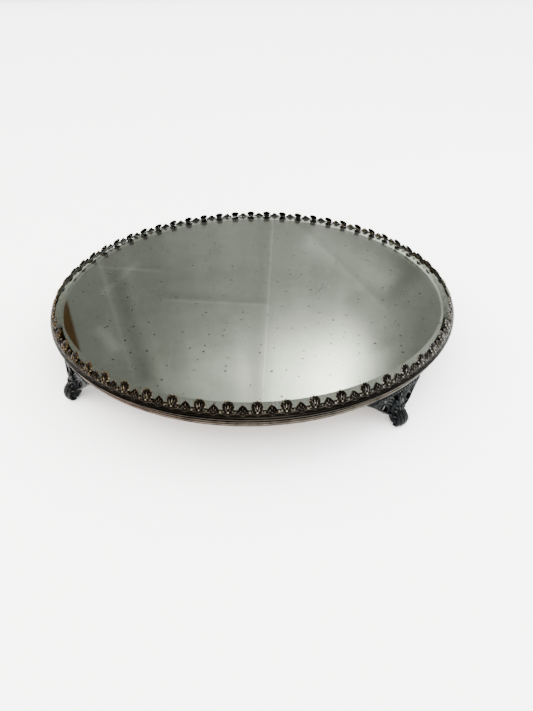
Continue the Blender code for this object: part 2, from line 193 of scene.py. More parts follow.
def turned(name, profile, steps, closed=True):
    """Extrude one vertex along a profile of points, close it if asked, and spin it a full turn."""
    deselect_all()
    bpy.ops.mesh.primitive_plane_add(size=MM, location=(0, 0, 0))
    obj = bpy.context.object
    obj.name = name
    obj.data.name = name
    bpy.ops.object.mode_set(mode="EDIT")
    bpy.ops.mesh.select_all(action="SELECT")
    bpy.ops.mesh.merge(type="CENTER")
    bpy.ops.transform.translate(value=profile[0])
    for start, end in zip(profile, profile[1:]):
        step = Vector(end) - Vector(start)
        bpy.ops.mesh.extrude_region_move(TRANSFORM_OT_translate={"value": step})
    if closed:
        bpy.ops.object.mode_set(mode="OBJECT")
        last = len(profile) - 1
        for vert in obj.data.vertices:
            vert.select = vert.index in (0, last)
        bpy.ops.object.mode_set(mode="EDIT")
        bpy.ops.mesh.edge_face_add()
    bpy.ops.mesh.select_all(action="SELECT")
    bpy.ops.mesh.spin(steps=steps, angle=FULL_TURN, center=(0, 0, 0), axis=(0, 0, 1))
    bpy.ops.mesh.select_all(action="SELECT")
    bpy.ops.mesh.remove_doubles(threshold=0.002 * MM)
    bpy.ops.mesh.normals_make_consistent(inside=False)
    bpy.ops.object.mode_set(mode="OBJECT")
    return obj


def ring_points(points):
    """Radius and height pairs, in millimetres, as points on the +X side."""
    return [(radius * MM, 0.0, height * MM) for radius, height in points]


def arc(centre_r, centre_z, radius, start, stop, count):
    """Points on a round of a profile, from one angle to another, in degrees."""
    points = []
    for index in range(count):
        angle = radians(start + (stop - start) * index / (count - 1))
        points.append((centre_r + radius * cos(angle), centre_z + radius * sin(angle)))
    return points


# %% [markdown]
# ## Materials
# Colours are given as sRGB hex, as on a paint chart, and shaders want them linear.

# %% Material helpers
def linear(hex_colour):
    channels = []
    for index in (1, 3, 5):
        value = int(hex_colour[index:index + 2], 16) / 255
        channels.append(value / 12.92 if value <= 0.04045 else ((value + 0.055) / 1.055) ** 2.4)
    return (*channels, 1.0)


def new_material(name, colour, roughness, metallic=0.0):
    material = bpy.data.materials.new(name)
    material.use_nodes = True
    shader = material.node_tree.nodes["Principled BSDF"]
    shader.inputs["Base Color"].default_value = linear(colour)
    shader.inputs["Roughness"].default_value = roughness
    shader.inputs["Metallic"].default_value = metallic
    return material, shader


def add_node(material, kind, settings=None, links=None):
    """Add a node of a kind, such as Math. Settings fill its properties, sockets or ramp stops.

    Links name what feeds a socket."""
    tree = material.node_tree
    node = tree.nodes.new("ShaderNode" + kind)
    for key, value in (settings or {}).items():
        if key == "stops":
            elements = node.color_ramp.elements
            while len(elements) < len(value):
                elements.new(1.0)
            for element, (position, tone) in zip(elements, value):
                element.position = position
                element.color = linear(tone) if isinstance(tone, str) else (tone, tone, tone, 1.0)
        elif isinstance(key, int) or key in node.inputs:
            node.inputs[key].default_value = value
        else:
            setattr(node, key, value)
    for key, source in (links or {}).items():
        tree.links.new(source, node.inputs[key])
    return node


# A colour Mix node names three pairs of sockets alike, so its colour sockets are found by number.
MIX_A = 6
MIX_B = 7
MIX_OUT = 2


# %% [markdown]
# Old mirror glass is not perfect. Damp creeps in behind the silvering, so it turns a little grey and
# cloudy, with dark pinholes and fine wipe marks. The silvering carries all of that. The glass in front of
# it stays clear, with only the faint waves that the polishing wheel leaves.

# %% Mirror materials
def plate_glass():
    """Polished plate glass: clear, sharp, and very faintly grey green where it is thick."""
    material, shader = new_material("polished plate glass", "#f6f8f6", 0.0)
    shader.inputs["IOR"].default_value = 1.52
    shader.inputs["Transmission Weight"].default_value = 1.0
    place = add_node(material, "TexCoord").outputs["Object"]
    waves = add_node(material, "TexNoise", {"Scale": 9.0, "Detail": 1.0}, {"Vector": place})
    ripple = add_node(material, "Bump", {"Strength": 0.05, "Distance": 0.01 * MM},
                      {"Height": waves.outputs["Fac"]})
    material.node_tree.links.new(ripple.outputs["Normal"], shader.inputs["Normal"])
    return material


# Where the wipe marks lie: middle, direction in degrees, half length and half width.
WIPE_MARKS = [((60.0, -9.0), 71, 32.0, 9.0), ((-27.0, 41.0), -67, 22.0, 6.0)]


def aged_silvering():
    """Tarnished silvering: cloudy grey, with dark pinholes and fine scratches."""
    material, shader = new_material("aged silvering", "#c8cac6", 0.05, 1.0)
    link = material.node_tree.links.new
    place = add_node(material, "TexCoord").outputs["Object"]
    clouds = add_node(material, "TexNoise", {"Scale": 14.0, "Detail": 6.0, "Roughness": 0.65},
                      {"Vector": place})
    tone = add_node(material, "ValToRGB",
                    {"stops": [(0.32, "#b6b7b0"), (0.50, "#c8cac4"), (0.70, "#d4d5d0")]},
                    {"Fac": clouds.outputs["Fac"]})
    cells = add_node(material, "TexVoronoi", {"voronoi_dimensions": "2D", "Scale": 1 / (11 * MM)},
                     {"Vector": place})
    chance = add_node(material, "SeparateColor", links={"Color": cells.outputs["Color"]})
    size = add_node(material, "MapRange", {"From Min": 0.42, "From Max": 1.0, "To Max": 0.095},
                    {"Value": chance.outputs["Red"]})
    pinhole = add_node(material, "Math", {"operation": "LESS_THAN"},
                       {0: cells.outputs["Distance"], 1: size.outputs["Result"]})
    bare = pinhole.outputs["Value"]
    for (x, y), turn, half_length, half_width in WIPE_MARKS:
        local = add_node(material, "Mapping",
                         {"vector_type": "TEXTURE", "Location": (x * MM, y * MM, 0.0),
                          "Rotation": (0.0, 0.0, radians(turn)),
                          "Scale": (half_length * MM, half_width * MM, 1.0)},
                         {"Vector": place})
        away = add_node(material, "VectorMath", {"operation": "LENGTH"}, {0: local.outputs["Vector"]})
        patch = add_node(material, "MapRange", {"From Min": 1.0, "From Max": 0.55},
                         {"Value": away.outputs["Value"]})
        hairs = add_node(material, "Mapping", {"Scale": (0.8, 0.65 * half_width, 1.0)},
                         {"Vector": local.outputs["Vector"]})
        strokes = add_node(material, "TexNoise", {"Scale": 1.0, "Detail": 2.0},
                           {"Vector": hairs.outputs["Vector"]})
        dark = add_node(material, "MapRange", {"From Min": 0.56, "From Max": 0.68, "To Max": 0.85},
                        {"Value": strokes.outputs["Fac"]})
        scratch = add_node(material, "Math", {"operation": "MULTIPLY"},
                           {0: dark.outputs["Result"], 1: patch.outputs["Result"]})
        bare = add_node(material, "Math", {"operation": "MAXIMUM"},
                        {0: bare, 1: scratch.outputs["Value"]}).outputs["Value"]
    holed = add_node(material, "Mix", {"data_type": "RGBA", MIX_B: linear("#161715")},
                     {0: bare, MIX_A: tone.outputs["Color"]})
    silvered = add_node(material, "Math", {"operation": "SUBTRACT", 0: 1.0}, {1: bare})
    haze = add_node(material, "MapRange",
                    {"From Min": 0.35, "From Max": 0.75, "To Min": 0.004, "To Max": 0.03},
                    {"Value": clouds.outputs["Fac"]})
    dull = add_node(material, "Math", {"operation": "MULTIPLY_ADD", 1: 0.8},
                    {0: bare, 2: haze.outputs["Result"]})
    link(holed.outputs[MIX_OUT], shader.inputs["Base Color"])
    link(silvered.outputs["Value"], shader.inputs["Metallic"])
    link(dull.outputs["Value"], shader.inputs["Roughness"])
    return material


# %% [markdown]
# Silver plate blackens in its hollows and stays bright where it is rubbed. Pointiness is high on edges
# and low in hollows, so one ramp on it paints both. The bright edges also stand in for glints, so they are
# partly real wear and partly painted highlight. Noise breaks the ramp up, because tarnish is patchy. The
# edge tone turns from warm brass on the left to silver on the right: painted glint colour, warm on the
# lamp's side and cool on the window's.

# %% Tarnished metals, with painted highlights and a painted reflection
def tarnish_with_painted_light(name, tones, worn_and_glint_tones, roughness, grain_mm, edge=(0.44, 0.50, 0.56), rubbed_and_glint_from=None,
              painted_reflection_inside=None):
    """Dark hollows, a middle tone and bright worn edges, which are partly painted highlight; their painted
    glint colour turns from warm on the left to cool on the right.

    The worn tone with its painted highlight may start at a height, and the side that faces the mirror may be
    painted pale grey up to a height, as a painted reflection of the bevel."""
    material, shader = new_material(name, tones[1], roughness, 1.0)
    link = material.node_tree.links.new
    place = add_node(material, "TexCoord").outputs["Object"]
    across = add_node(material, "SeparateXYZ", links={"Vector": place})
    side = add_node(material, "MapRange", {"From Min": -0.13, "From Max": 0.10},
                    {"Value": across.outputs["X"]})
    # Painted glint colour: the worn edges turn from warm on the left, where the lamp falls, to cool on the
    # right, where the window does.
    left_tone, right_tone = linear(worn_and_glint_tones[0]), linear(worn_and_glint_tones[1])
    rubbed_and_glint = add_node(material, "Mix", {"data_type": "RGBA", MIX_A: left_tone, MIX_B: right_tone},
                      {0: side.outputs["Result"]})
    patches = add_node(material, "TexNoise",
                       {"Scale": 1 / (6 * MM), "Detail": 5.0, "Roughness": 0.6}, {"Vector": place})
    sharp = add_node(material, "NewGeometry").outputs["Pointiness"]
    shift = add_node(material, "Math", {"operation": "MULTIPLY_ADD", 1: 0.10, 2: -0.05},
                     {0: patches.outputs["Fac"]})
    uneven = add_node(material, "Math", {"operation": "ADD"}, {0: sharp, 1: shift.outputs["Value"]})
    hollow = add_node(material, "MapRange", {"From Min": edge[0], "From Max": edge[1]},
                      {"Value": uneven.outputs["Value"]})
    # Painted highlight as well as wear: the sharpest ridges take the bright tone.
    ridge = add_node(material, "MapRange", {"From Min": edge[1], "From Max": edge[2]},
                     {"Value": uneven.outputs["Value"]})
    body = add_node(material, "Mix",
                    {"data_type": "RGBA", MIX_A: linear(tones[0]), MIX_B: linear(tones[1])},
                    {0: hollow.outputs["Result"]})
    if rubbed_and_glint_from:
        start, end = rubbed_and_glint_from
        reach = add_node(material, "MapRange",
                         {"From Min": start * MM, "From Max": end * MM, "To Min": 0.12},
                         {"Value": across.outputs["Z"]})
        link(reach.outputs["Result"], ridge.inputs["To Max"])
    colour = add_node(material, "Mix", {"data_type": "RGBA"},
                      {0: ridge.outputs["Result"], MIX_A: body.outputs[MIX_OUT],
                       MIX_B: rubbed_and_glint.outputs[MIX_OUT]})
    # Painted reflection: low faces that turn towards the mirror are painted pale grey like the bevel they
    # face, which also hides the shade in the gap by the glass.
    if painted_reflection_inside:
        faces = add_node(material, "NewGeometry")
        inward = add_node(material, "VectorMath", {"operation": "DOT_PRODUCT"},
                          {0: faces.outputs["Normal"], 1: place})
        inner = add_node(material, "MapRange", {"From Min": -0.04, "From Max": -0.10},
                         {"Value": inward.outputs["Value"]})
        start, end = painted_reflection_inside
        below = add_node(material, "MapRange", {"From Min": end * MM, "From Max": start * MM},
                         {"Value": across.outputs["Z"]})
        painted_reflection = add_node(material, "Math", {"operation": "MULTIPLY"},
                         {0: inner.outputs["Result"], 1: below.outputs["Result"]})
        colour = add_node(material, "Mix", {"data_type": "RGBA", MIX_B: linear("#a3a59e")},
                          {0: painted_reflection.outputs["Value"], MIX_A: colour.outputs[MIX_OUT]})
    link(colour.outputs[MIX_OUT], shader.inputs["Base Color"])
    dull = add_node(material, "MapRange", {"To Min": roughness + 0.16, "To Max": roughness - 0.10},
                    {"Value": ridge.outputs["Result"]})
    link(dull.outputs["Result"], shader.inputs["Roughness"])
    grain = add_node(material, "TexNoise", {"Scale": 1 / (grain_mm * MM), "Detail": 3.0}, {"Vector": place})
    relief = add_node(material, "Bump", {"Strength": 0.35, "Distance": 0.08 * MM},
                      {"Height": grain.outputs["Fac"]})
    link(relief.outputs["Normal"], shader.inputs["Normal"])
    return material


# %% [markdown]
# ## The mirror
# The mirror is a disc of plate glass with a wide, shallow bevel ground round its edge, over its
# silvering. Both are turned from a profile, in four steps to each gallery repeat.

# %% Glass and silvering
RING_STEPS = 232
BEVEL_WIDTH = 6.4
BEVEL_DROP = 1.7

glass_r = glass_radius / MM
glass_z = glass_top / MM
glass_low = glass_bottom / MM
glass_profile = ring_points([
    (0.0, glass_z),
    (glass_r - BEVEL_WIDTH, glass_z),
    (glass_r - 0.15, glass_z - BEVEL_DROP),
    (glass_r, glass_z - BEVEL_DROP - 0.15),
    (glass_r, glass_low),
    (0.0, glass_low),
])
glass = turned("bevelled_glass", glass_profile, RING_STEPS, closed=False)
smooth(glass, 8)
hand_in(glass, plate_glass(), "glass", "mirror_glass")

silver_z = top_of("mirror_silvering") / MM
silver_low = bottom_of("mirror_silvering") / MM
silver_profile = ring_points([(0.0, silver_z), (glass_r, silver_z),
                              (glass_r, silver_low), (0.0, silver_low)])
silvering = turned("silvered_back", silver_profile, RING_STEPS, closed=False)
smooth(silvering, 8)
hand_in(silvering, aged_silvering(), "silvering", "mirror_silvering")

# %% [markdown]
# ## The gallery
# The gallery is one strip of stamped and pierced silver plate. It repeats 58 times: a palmette, a
# pointed leaf, and a small scroll with a ball on each side between them. One repeat is modelled at the
# front of the tray, leant inwards, and then copied round.
#
# Each motif is built from drops and tubes that pass into each other. A voxel remesh fuses them into one
# skin, with the soft inner corners that a worn casting has, and a decimate keeps the copies light.

# %% Gallery dimensions
REPEATS = 58
LEAN = radians(36.3)
LEAF_TIP = 9.1
STRIP_THICKNESS = 1.1
pitch = FULL_TURN / REPEATS
gallery_base_z = bottom_of("gallery_strip") / MM + STRIP_THICKNESS * sin(LEAN)
gallery_base_r = radius_of("gallery_strip") / MM
print("pitch at the base", round(pitch * gallery_base_r, 2), "mm")


# %% Placing a motif on the ring
def lean_onto_ring(obj, along):
    """Tip an upright, flat motif inwards, stand it on the ring at the front and swing it round."""
    tip = Matrix.Rotation(-LEAN, 4, "X")
    stand = Matrix.Translation((0.0, -gallery_base_r * MM, gallery_base_z * MM))
    swing = Matrix.Rotation(along, 4, "Z")
    obj.data.transform(swing @ stand @ tip @ obj.matrix_world)
    obj.matrix_world = Matrix.Identity(4)
    return obj


# %% Drops, balls and tubes
def drop(x, up, half_width, half_length, half_depth, tilt=0.0, out=0.0, sides=16):
    """An egg-shaped petal, tilted in the plane of the strip. All sizes are in millimetres."""
    deselect_all()
    bpy.ops.mesh.primitive_uv_sphere_add(segments=sides, ring_count=sides // 2, radius=1.0,
                                         location=(x * MM, -out * MM, up * MM),
                                         rotation=(0.0, radians(tilt), 0.0))
    petal = bpy.context.object
    petal.scale = (half_width * MM, half_depth * MM, half_length * MM)
    return petal


def tube(points, radius, cyclic=False):
    """A round wire through points given as across, up and out, in millimetres."""
    curve = bpy.data.curves.new("wire", "CURVE")
    curve.dimensions = "3D"
    curve.bevel_depth = radius * MM
    curve.bevel_resolution = 2
    curve.resolution_u = 6
    curve.use_fill_caps = True
    spline = curve.splines.new("NURBS")
    spline.points.add(len(points) - 1)
    for point, (x, up, out) in zip(spline.points, points):
        point.co = (x * MM, -out * MM, up * MM, 1.0)
    spline.use_endpoint_u = not cyclic
    spline.use_cyclic_u = cyclic
    spline.order_u = 3
    wire = bpy.data.objects.new("wire", curve)
    bpy.context.scene.collection.objects.link(wire)
    select_only(wire)
    bpy.ops.object.convert(target="MESH")
    return bpy.context.object


def plate(name, outline, thickness):
    """A flat plate: one vertex is extruded round the outline, filled and given its thickness."""
    deselect_all()
    bpy.ops.mesh.primitive_plane_add(size=MM, location=(0, 0, 0))
    obj = bpy.context.object
    obj.name = name
    bpy.ops.object.mode_set(mode="EDIT")
    bpy.ops.mesh.select_all(action="SELECT")
    bpy.ops.mesh.merge(type="CENTER")
    points = [Vector((x * MM, thickness * MM / 2, up * MM)) for x, up in outline]
    bpy.ops.transform.translate(value=points[0])
    for start, end in zip(points, points[1:]):
        bpy.ops.mesh.extrude_region_move(TRANSFORM_OT_translate={"value": end - start})
    bpy.ops.mesh.select_all(action="SELECT")
    bpy.ops.mesh.edge_face_add()
    bpy.ops.mesh.extrude_region_move(TRANSFORM_OT_translate={"value": (0, -thickness * MM, 0)})
    bpy.ops.mesh.select_all(action="SELECT")
    bpy.ops.mesh.normals_make_consistent(inside=False)
    bpy.ops.object.mode_set(mode="OBJECT")
    return obj


# %% [markdown]
# A palmette is a stylised palm leaf: nine lobes fan out from a low point, two tall petals stand in
# front of them like a V, and a volute curls out at each side of the foot.

# %% Palmette
def palmette_pieces():
    pieces = [drop(0.0, 7.5, 3.7, 3.9, 0.55)]
    fan = [(0, 4.8), (33, 4.9), (-33, 4.9), (66, 4.95), (-66, 4.95), (98, 4.8), (-98, 4.8),
           (128, 4.3), (-128, 4.3)]
    for degrees, reach in fan:
        middle = reach - 1.75
        across = middle * sin(radians(degrees))
        up = 7.3 + middle * cos(radians(degrees))
        pieces.append(drop(across, up, 1.08, 1.75, 0.72, tilt=degrees, out=0.42))
    for side in (-1, 1):
        pieces.append(drop(side * 1.5, 6.7, 0.6, 2.5, 0.75, tilt=side * 21, out=0.85))
        pieces.append(tube([(side * 0.9, 3.4, 0.3), (side * 2.4, 3.5, 0.4), (side * 3.5, 4.5, 0.5),
                            (side * 3.0, 5.5, 0.5), (side * 2.2, 5.0, 0.5)], 0.42))
    pieces.append(drop(0.0, 7.9, 0.5, 1.9, 0.7, out=0.85))
    pieces.append(drop(0.0, 4.1, 0.75, 0.75, 0.75, out=0.65))
    pieces.append(plate("palmette_foot", [(-2.1, 2.7), (2.1, 2.7), (1.6, 5.4), (-1.6, 5.4)], 1.0))
    return pieces


# %% [markdown]
# The leaf is a cut plate with a raised border, five small veins and a bead at its foot. The links, each
# with its ball, and the lips under the openings are bent wires.

# %% Leaf and links
def leaf_pieces():
    half = [(4.6, 2.8), (4.5, 3.8), (3.3, 5.6), (2.1, 7.2), (0.9, 8.5)]
    outline = half + [(0.0, LEAF_TIP)] + [(-x, up) for x, up in reversed(half)]
    pieces = [plate("leaf_plate", outline, 0.9)]
    for side in (-1, 1):
        border = [(side * 1.6, 3.4, 0.4), (side * 4.3, 3.1, 0.4), (side * 4.1, 4.3, 0.4),
                  (side * 2.5, 6.4, 0.4), (side * 1.0, 8.3, 0.4), (0.0, 9.0, 0.3)]
        pieces.append(tube(border, 0.40))
        pieces.append(drop(side * 1.35, 5.2, 0.5, 1.35, 0.6, tilt=side * 32, out=0.5))
        pieces.append(drop(side * 2.5, 4.3, 0.42, 0.9, 0.5, tilt=side * 60, out=0.5))
    pieces.append(drop(0.0, 6.0, 0.55, 1.7, 0.65, out=0.5))
    pieces.append(drop(0.0, 3.9, 0.6, 0.6, 0.6, out=0.55))
    return pieces


def link_pieces(side):
    """The S-scroll with its ball, between a palmette and a leaf."""
    scroll = [(side * 2.0, 3.1, 0.3), (side * 3.6, 2.7, 0.4), (side * 4.7, 3.2, 0.5),
              (side * 5.0, 4.3, 0.4)]
    return [tube(scroll, 0.40), drop(side * 4.95, 4.1, 0.8, 0.8, 0.8, out=0.35)]


def lip_pieces():
    """The lip under each opening, which catches the light."""
    lip = [(-1.9, 2.7, 0.2), (-1.2, 2.0, 0.45), (0.0, 1.75, 0.5), (1.2, 2.0, 0.45), (1.9, 2.7, 0.2)]
    return [tube(lip, 0.32)]


# %% One repeat, fused
GALLERY_VOXEL = 0.20 * MM
REPEAT_FACES = 2000


def fuse(obj, voxel, faces=0):
    """Remesh the overlapping pieces into one skin, then lighten it to a number of faces if one is given."""
    skin = obj.modifiers.new("fuse", "REMESH")
    skin.mode = "VOXEL"
    skin.voxel_size = voxel
    apply_modifier(obj, skin)
    triangles = sum(len(face.vertices) - 2 for face in obj.data.polygons)
    if faces:
        light = obj.modifiers.new("lighten", "DECIMATE")
        light.ratio = min(1.0, faces / triangles)
        apply_modifier(obj, light)
    print(obj.name, triangles, "triangles, lightened to", len(obj.data.polygons), "faces")


half_pitch = pitch / 2
motifs = palmette_pieces() + link_pieces(-1) + link_pieces(1) + lip_pieces()
motifs = [lean_onto_ring(obj, 0.0) for obj in motifs]
leaf_motifs = [lean_onto_ring(obj, half_pitch) for obj in leaf_pieces() + lip_pieces()]
crest = join("gallery_crest", motifs + leaf_motifs)
fuse(crest, GALLERY_VOXEL, REPEAT_FACES)

# %% [markdown]
# Copies are set round with an Array modifier that follows an empty turned by one pitch.


# %% Copies round the tray
def copy_round(obj, count, merge=False):
    """Repeat the object round the upright axis, one pitch after another."""
    guide = bpy.data.objects.new("turn_guide", None)
    bpy.context.scene.collection.objects.link(guide)
    guide.rotation_euler = (0.0, 0.0, FULL_TURN / count)
    array = obj.modifiers.new("round", "ARRAY")
    array.count = count
    array.use_relative_offset = False
    array.use_object_offset = True
    array.offset_object = guide
    array.use_merge_vertices = merge
    array.use_merge_vertices_cap = merge
    array.merge_threshold = 0.005 * MM
    apply_modifier(obj, array)
    bpy.data.objects.remove(guide)


def swing(obj, angle):
    obj.data.transform(Matrix.Rotation(angle, 4, "Z"))


copy_round(crest, REPEATS)
swing(crest, half_pitch)
smooth(crest, 60)

# %% [markdown]
# Below the motifs runs the plain strip that they rise from, with an opening under the middle of each.
# One pitch of it is spun as a grid, and the faces of its openings are deleted. Solidify comes after the
# copies are welded, so that the sheet has its thickness and the openings have walls.

# %% Gallery strip with its openings
STRIP_COLUMNS = 14
strip_heights = [0.0, 0.5, 1.2, 1.9, 2.35, 3.3, 3.9]


def on_slope(up, out=0.0):
    """Radius and height of a point up the leaning strip."""
    radius = gallery_base_r - up * sin(LEAN) + out * cos(LEAN)
    height = gallery_base_z + up * cos(LEAN) + out * sin(LEAN)
    return radius, height


def strip_unit():
    deselect_all()
    bpy.ops.mesh.primitive_plane_add(size=MM, location=(0, 0, 0))
    obj = bpy.context.object
    bpy.ops.object.mode_set(mode="EDIT")
    bpy.ops.mesh.select_all(action="SELECT")
    bpy.ops.mesh.merge(type="CENTER")
    bulge = [0.0, 0.0, -0.15, -0.1, 0.0, 0.0, 0.0]
    points = [Vector((r * MM, 0.0, z * MM)) for r, z in
              (on_slope(up, out) for up, out in zip(strip_heights, bulge))]
    bpy.ops.transform.translate(value=points[0])
    for start, end in zip(points, points[1:]):
        bpy.ops.mesh.extrude_region_move(TRANSFORM_OT_translate={"value": end - start})
    bpy.ops.mesh.select_all(action="SELECT")
    bpy.ops.mesh.spin(steps=STRIP_COLUMNS, angle=pitch, center=(0, 0, 0), axis=(0, 0, 1))
    bpy.ops.object.mode_set(mode="OBJECT")
    return obj


strip = strip_unit()
column = pitch / STRIP_COLUMNS
_, hole_low = on_slope(strip_heights[4])
_, hole_high = on_slope(strip_heights[5])


def in_opening(face):
    """Faces in the pierced row, one column to each side of a motif's middle."""
    middle = face.center
    angle = abs(Vector((middle.x, middle.y)).angle_signed(Vector((1.0, 0.0))))
    in_row = hole_low * MM < middle.z < hole_high * MM
    near_palmette = angle < column or pitch - angle < column
    near_leaf = abs(angle - half_pitch) < column
    return in_row and (near_palmette or near_leaf)


pick(strip, "FACE", in_opening)
bpy.ops.mesh.delete(type="FACE")
close_edit()
copy_round(strip, REPEATS, merge=True)
wall = strip.modifiers.new("wall", "SOLIDIFY")
wall.thickness = STRIP_THICKNESS * MM
wall.offset = -1.0
apply_modifier(strip, wall)
pick(strip, "VERT", lambda vert: True)
bpy.ops.mesh.normals_make_consistent(inside=False)
close_edit()
strip.name = "gallery_base"
smooth(strip, 35)

# %% [markdown]
# ## Rim and moulding
# Both rings are rolled plate, so each is one turned profile. The rim has a lip over the glass, a round
# bead outside and a cove below. The moulding has a bead, a sharp groove and three soft reeds.

# %% Rim
shoulder_z = bottom_of("gallery_strip") / MM - 0.3
bead_r = bead_radius / MM
rim_low = rim_bottom / MM
rim_inner = glass_r + 0.4
lip_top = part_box("rim_band")[1].z / MM
rim_floor = rim_low + 1.4
neck_r = bead_r - 2.9
flange_r = bead_r - 16.7
BEAD = 0.62
rim_profile = [(rim_inner, lip_top), (rim_inner + 1.0, lip_top), (rim_inner + 1.0, shoulder_z),
               (bead_r - BEAD, shoulder_z)]
rim_profile += arc(bead_r - BEAD, shoulder_z - BEAD, BEAD, 75, -75, 9)
rim_profile += arc(bead_r + 0.1, rim_low + 0.9, 2.75, 145, 180, 5)
rim_profile += [(neck_r + 0.3, rim_low + 0.5), (neck_r + 0.3, rim_low), (flange_r, rim_low),
                (flange_r, rim_floor), (rim_inner, rim_floor)]
rim = turned("coved_rim", ring_points(rim_profile), RING_STEPS)
smooth(rim, 40)

# %% Moulding
band_r = band_radius / MM
low = foot_height / MM
high = moulding_top / MM
inner_r = band_r - 1.4
flange_in = band_r - 21.0
moulding_profile = [(inner_r, high), (band_r - 0.1, high)]
moulding_profile += arc(band_r - 0.05, high - 0.68, 0.68, 80, -80, 9)
moulding_profile += [(band_r - 1.1, high - 1.5), (band_r - 1.1, high - 2.1)]
moulding_profile += arc(band_r - 0.3, high - 2.95, 0.80, 80, -35, 6)
moulding_profile += arc(band_r + 0.1, high - 4.1, 0.95, 45, -40, 6)
moulding_profile += arc(band_r - 0.4, high - 5.4, 1.0, 40, -90, 7)
moulding_profile += [(band_r - 1.2, low), (flange_in, low), (flange_in, low + 1.3), (inner_r, low + 1.3)]
moulding = turned("reeded_band", ring_points(moulding_profile), RING_STEPS)
smooth(moulding, 40)

# %% [markdown]
# ## The feet
# Each foot is one casting: a plate of acanthus leaf with two pierced wings, a column down its middle and
# a rolled, fluted toe. The leaf is easiest to model flat, so the plate and its ribs are built upright in
# the plane and then wrapped round the tray. The toe and the fixing lug are round and square already, so
# they are placed where they belong. A voxel remesh then casts everything into one skin.

# %% Foot dimensions
foot_top_z = top_of("foot_front_left") / MM
PLATE_LOW = 6.95
PLATE_THICKNESS = 3.0
SWEEP = 4.5
TOE_RADIUS_OUT = 184.0
plate_high = foot_top_z - PLATE_LOW
FLATTER = 0.0014
RIGHT_WING = [(30.0, foot_top_z), (30.0, 27.1), (25.5, 24.2), (21.8, 21.2), (18.9, 18.5), (14.9, 15.1),
              (11.9, 12.9), (8.6, 11.2), (6.4, 9.0), (5.6, 6.0), (4.4, 3.4), (2.4, 2.2)]


def face_radius(height):
    """The outer face of the plate sweeps outwards on its way down."""
    down = min(max((foot_top_z - height) / plate_high, 0.0), 1.0)
    return band_r + SWEEP * down ** 2


def wrap_onto_band(obj):
    """Move each point of a flat, upright piece onto the swept face, bent round the tray."""
    place = obj.matrix_world.copy()
    for vert in obj.data.vertices:
        flat = place @ vert.co / MM
        down = min(max((foot_top_z - flat.z) / plate_high, 0.0), 1.0)
        radius = face_radius(flat.z) - flat.y + FLATTER * down * flat.x ** 2
        angle = flat.x / band_r
        vert.co = Vector((radius * sin(angle), -radius * cos(angle), flat.z)) * MM
    obj.matrix_world = Matrix.Identity(4)
    return obj


# %% Foot plate with its pierced drops
DROP_SIDE = 12.8
DROP_MIDDLE = 17.5
DROP_RADIUS = 2.7
DROP_POINT = 4.7


def cut(obj, tool):
    """Take the tool's shape out of the object."""
    carve = obj.modifiers.new("carve", "BOOLEAN")
    carve.operation = "DIFFERENCE"
    carve.solver = "EXACT"
    carve.object = tool
    apply_modifier(obj, carve)
    bpy.data.objects.remove(tool)


def drop_outline(across, up, radius, point):
    """A round end with a point above it."""
    outline = [(across, up + point)]
    for degrees in range(150, 391, 20):
        outline.append((across + radius * cos(radians(degrees)), up + radius * sin(radians(degrees))))
    return outline


def foot_plate():
    outline = RIGHT_WING + [(-x, up) for x, up in reversed(RIGHT_WING)]
    piece = plate("foot_plate", outline, PLATE_THICKNESS)
    piece.location.y = PLATE_THICKNESS * MM / 2
    settle(piece)
    for side in (-1, 1):
        hole = drop_outline(side * DROP_SIDE, DROP_MIDDLE, DROP_RADIUS, DROP_POINT)
        cut(piece, plate("drop_cutter", hole, 4 * PLATE_THICKNESS))
    return piece


# %% [markdown]
# The carving is drawn with the same drops and tubes as the gallery. Ribs fan out from the neck, a rolled
# border follows each wing's lower edge, and a row of small gadroons runs under the moulding.

# %% Carving on the plate
RING_WIDER = 1.28
GADROONS = 15
GADROON_SPACING = 2.7


def wing_carving(side):
    ribs = [
        ([(3.4, 16.5, 0.8), (9.4, 22.6, 0.4), (18.0, 24.7, 0.3), (24.5, 25.9, 0.0)], 0.8),
        ([(3.0, 18.0, 0.8), (6.0, 22.4, 0.6), (10.5, 24.8, 0.4), (15.0, 26.0, 0.1)], 0.8),
        ([(2.2, 19.0, 1.0), (3.6, 22.5, 0.9), (6.0, 25.0, 0.6), (8.6, 26.2, 0.2)], 0.75),
        ([(28.6, 26.9, 0.0), (24.6, 24.4, 0.2), (20.8, 21.4, 0.3), (18.0, 19.0, 0.4), (15.0, 16.1, 0.4),
          (12.0, 13.8, 0.4), (9.0, 12.2, 0.3), (6.4, 11.0, 0.2)], 0.7),
    ]
    pieces = [tube([(side * x, up, out) for x, up, out in path], radius) for path, radius in ribs]
    ring = [(side * DROP_SIDE + RING_WIDER * (x - DROP_SIDE), up - 0.1, 0.3)
            for x, up in drop_outline(DROP_SIDE, DROP_MIDDLE, DROP_RADIUS, DROP_POINT)]
    pieces.append(tube(ring, 0.55, cyclic=True))
    leaves = [(18.6, 21.9, 56), (21.4, 23.6, 62), (16.9, 24.0, 62), (8.6, 24.6, 50), (12.4, 23.2, 66),
              (18.4, 25.6, 76), (12.0, 25.4, 66), (22.4, 25.2, 74), (4.8, 23.4, 28)]
    for across, up, tilt in leaves:
        pieces.append(drop(side * across, up, 0.8, 2.0, 0.75, tilt=side * tilt, out=0.2))
    return pieces


